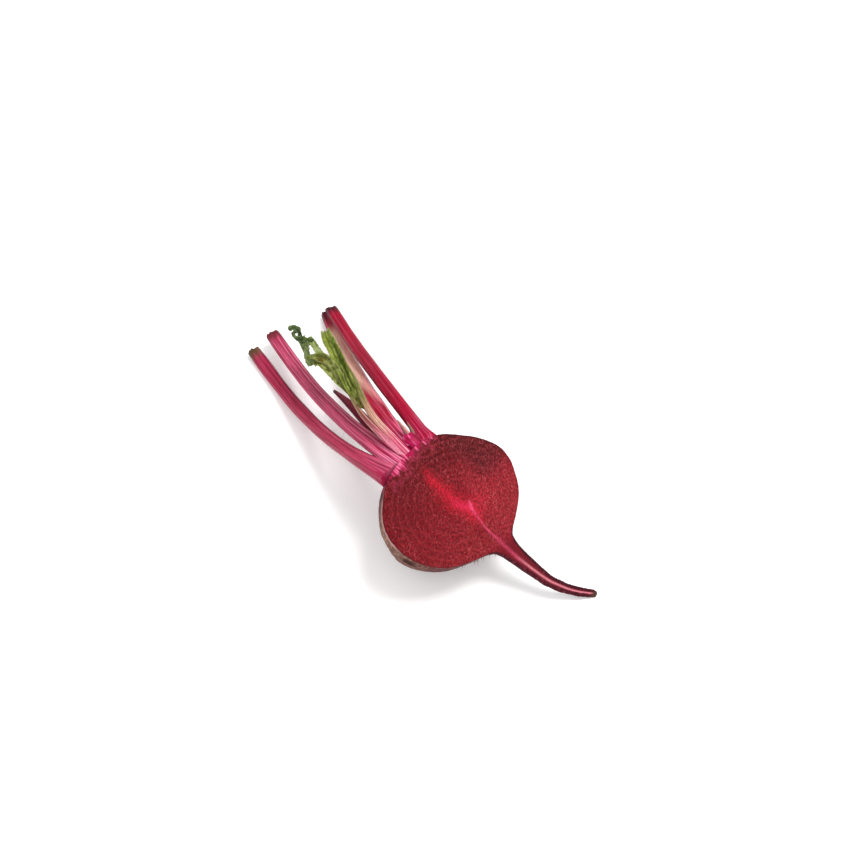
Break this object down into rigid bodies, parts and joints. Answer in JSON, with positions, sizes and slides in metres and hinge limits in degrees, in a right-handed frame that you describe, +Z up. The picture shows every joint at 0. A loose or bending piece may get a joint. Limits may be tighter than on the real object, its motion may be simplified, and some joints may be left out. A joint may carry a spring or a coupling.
{
  "type": "halved beetroot",
  "caption": "Beetroot cut in half lengthwise, lying on its round back with the cut face up, with its taproot, trimmed leaf stalks and young leaves.",
  "frame": {"origin": "middle of the small flat spot on the round back that the root rests on", "axes": "+Z up, out of the floor; +X along the root as seen from above, from the crown to the tip of the taproot; +Y across the cut face"},
  "size_m": [0.2125, 0.112, 0.0501],
  "materials": {
    "root": "moist, grainy cut flesh in deep crimson, and dull purple-brown skin",
    "stalk": "smooth crimson and magenta, ribbed lengthwise, with a soft gloss and dry cut ends",
    "young_leaf": "fresh yellow-green, crinkled, with a soft gloss",
    "bud_leaf": "dull green-brown"
  },
  "bodies": {
    "root": {"half_root": "root", "leaf_stalk_1": "stalk", "leaf_stalk_2": "stalk", "leaf_stalk_3": "stalk", "leaf_stalk_4": "stalk", "leaf_stalk_5": "stalk", "young_leaf_1": "young_leaf", "young_leaf_2": "young_leaf", "bud_leaf_1": "bud_leaf", "bud_leaf_2": "bud_leaf"}
  },
  "joints": []
}
